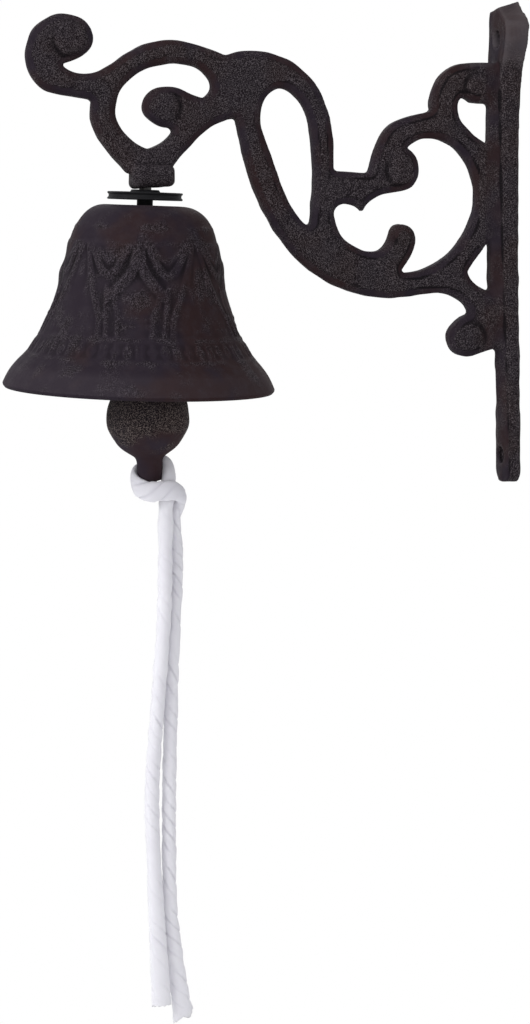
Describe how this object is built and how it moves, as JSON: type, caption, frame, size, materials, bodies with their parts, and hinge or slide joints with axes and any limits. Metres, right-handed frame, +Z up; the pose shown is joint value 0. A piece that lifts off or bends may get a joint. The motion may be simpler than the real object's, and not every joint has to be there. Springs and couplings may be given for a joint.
{
  "type": "wall bell",
  "caption": "Cast iron door bell hung from an openwork scroll bracket by a bolt, with a swinging clapper and a knotted white pull rope of two tails.",
  "frame": {"origin": "wall face of the bracket, midway between its two screw holes", "axes": "+X into the wall, +Z up, the arm reaching out along -X in the plane Y = 0"},
  "size_m": [0.2183, 0.1112, 0.4196],
  "materials": {
    "casting": "sand cast, dark brown-black",
    "spool": "smooth matte black",
    "steel": "plain, dulled",
    "rope": "white braided cotton"
  },
  "bodies": {
    "mount": {"bracket": "casting", "spool": "spool", "hanger_bolt": "steel", "crown_washer": "steel"},
    "bell": {"bell": "casting"},
    "hanger": {"clapper_strap": "steel", "clapper_pin": "steel"},
    "clapper": {"clapper": "casting", "rope_knot": "rope", "rope_tail_left": "rope", "rope_tail_right": "rope"}
  },
  "joints": [
    {"name": "bell_turn", "type": "hinge", "parent": "mount", "child": "bell", "pos_m": [-0.1603, 0, 0.0177], "axis": [0.0332, 0, 0.9995], "continuous": true},
    {"name": "hanger_turn", "type": "hinge", "parent": "mount", "child": "hanger", "pos_m": [-0.1603, 0, 0.0177], "axis": [0.0332, 0, 0.9995], "continuous": true},
    {"name": "clapper_swing", "type": "hinge", "parent": "hanger", "child": "clapper", "pos_m": [-0.16096, 0, -0.00229], "axis": [0, 1, 0], "range_deg": [-27.2, 34.2]}
  ]
}
